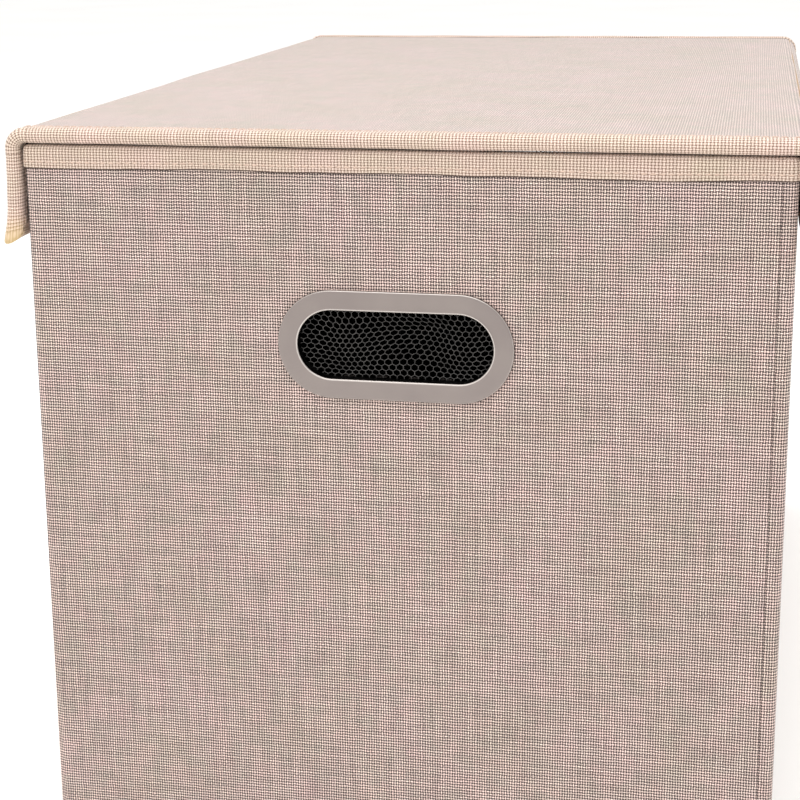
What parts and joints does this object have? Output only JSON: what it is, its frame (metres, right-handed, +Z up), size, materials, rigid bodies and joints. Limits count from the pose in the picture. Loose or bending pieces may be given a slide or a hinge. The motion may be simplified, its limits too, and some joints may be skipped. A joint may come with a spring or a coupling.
{
  "type": "fabric storage bin",
  "caption": "Lidded fabric storage bin: cloth-covered boards, a metal-edged hand hole in each short end, a lift-off lid with drop flaps along its long sides and a loose bottom board.",
  "frame": {"origin": "on the surface the bin stands on, under the middle of the bin", "axes": "+X across the short ends to the right seen from the front, +Y along the long sides to the back, +Z up; the front short end faces -Y"},
  "size_m": [0.315, 0.504, 0.3067],
  "materials": {
    "linen_cloth": "plain weave, matt",
    "edge_tape": "canvas tape, matt",
    "board": "plain",
    "lining": "embossed non-woven",
    "ring_metal": "satin nickel plate",
    "net": "knitted mesh"
  },
  "bodies": {
    "bin": {"front_cover": "linen_cloth", "back_cover": "linen_cloth", "left_cover": "linen_cloth", "right_cover": "linen_cloth", "bottom_cover": "linen_cloth", "front_board": "board", "back_board": "board", "left_board": "board", "right_board": "board", "front_lining": "lining", "back_lining": "lining", "left_lining": "lining", "right_lining": "lining", "floor_lining": "lining", "rim_tape": "edge_tape", "front_ring": "ring_metal", "back_ring": "ring_metal", "front_backing_ring": "ring_metal", "back_backing_ring": "ring_metal", "front_net": "net", "back_net": "net"},
    "insert": {"insert_board": "board", "insert_wrap": "lining"},
    "lid": {"lid_board": "board", "lid_cover": "linen_cloth", "lid_lining": "lining", "lid_front_tape": "edge_tape", "lid_back_tape": "edge_tape", "left_fold": "linen_cloth", "right_fold": "linen_cloth"},
    "left_flap": {"left_flap_board": "board", "left_flap_cover": "linen_cloth", "left_flap_lining": "lining", "left_flap_tape": "edge_tape"},
    "right_flap": {"right_flap_board": "board", "right_flap_cover": "linen_cloth", "right_flap_lining": "lining", "right_flap_tape": "edge_tape"}
  },
  "joints": [
    {"name": "lid_lift", "type": "slide", "parent": "bin", "child": "lid", "axis": [0, 0, 1], "range_m": [0, 0.35]},
    {"name": "left_flap_fold", "type": "hinge", "parent": "lid", "child": "left_flap", "pos_m": [-0.1548, 0, 0.304], "axis": [0, 1, 0], "range_deg": [0, 90]},
    {"name": "right_flap_fold", "type": "hinge", "parent": "lid", "child": "right_flap", "pos_m": [0.1548, 0, 0.304], "axis": [0, -1, 0], "range_deg": [0, 90]},
    {"name": "insert_lift", "type": "slide", "parent": "bin", "child": "insert", "axis": [0, 0, 1], "range_m": [0, 0.28]}
  ]
}
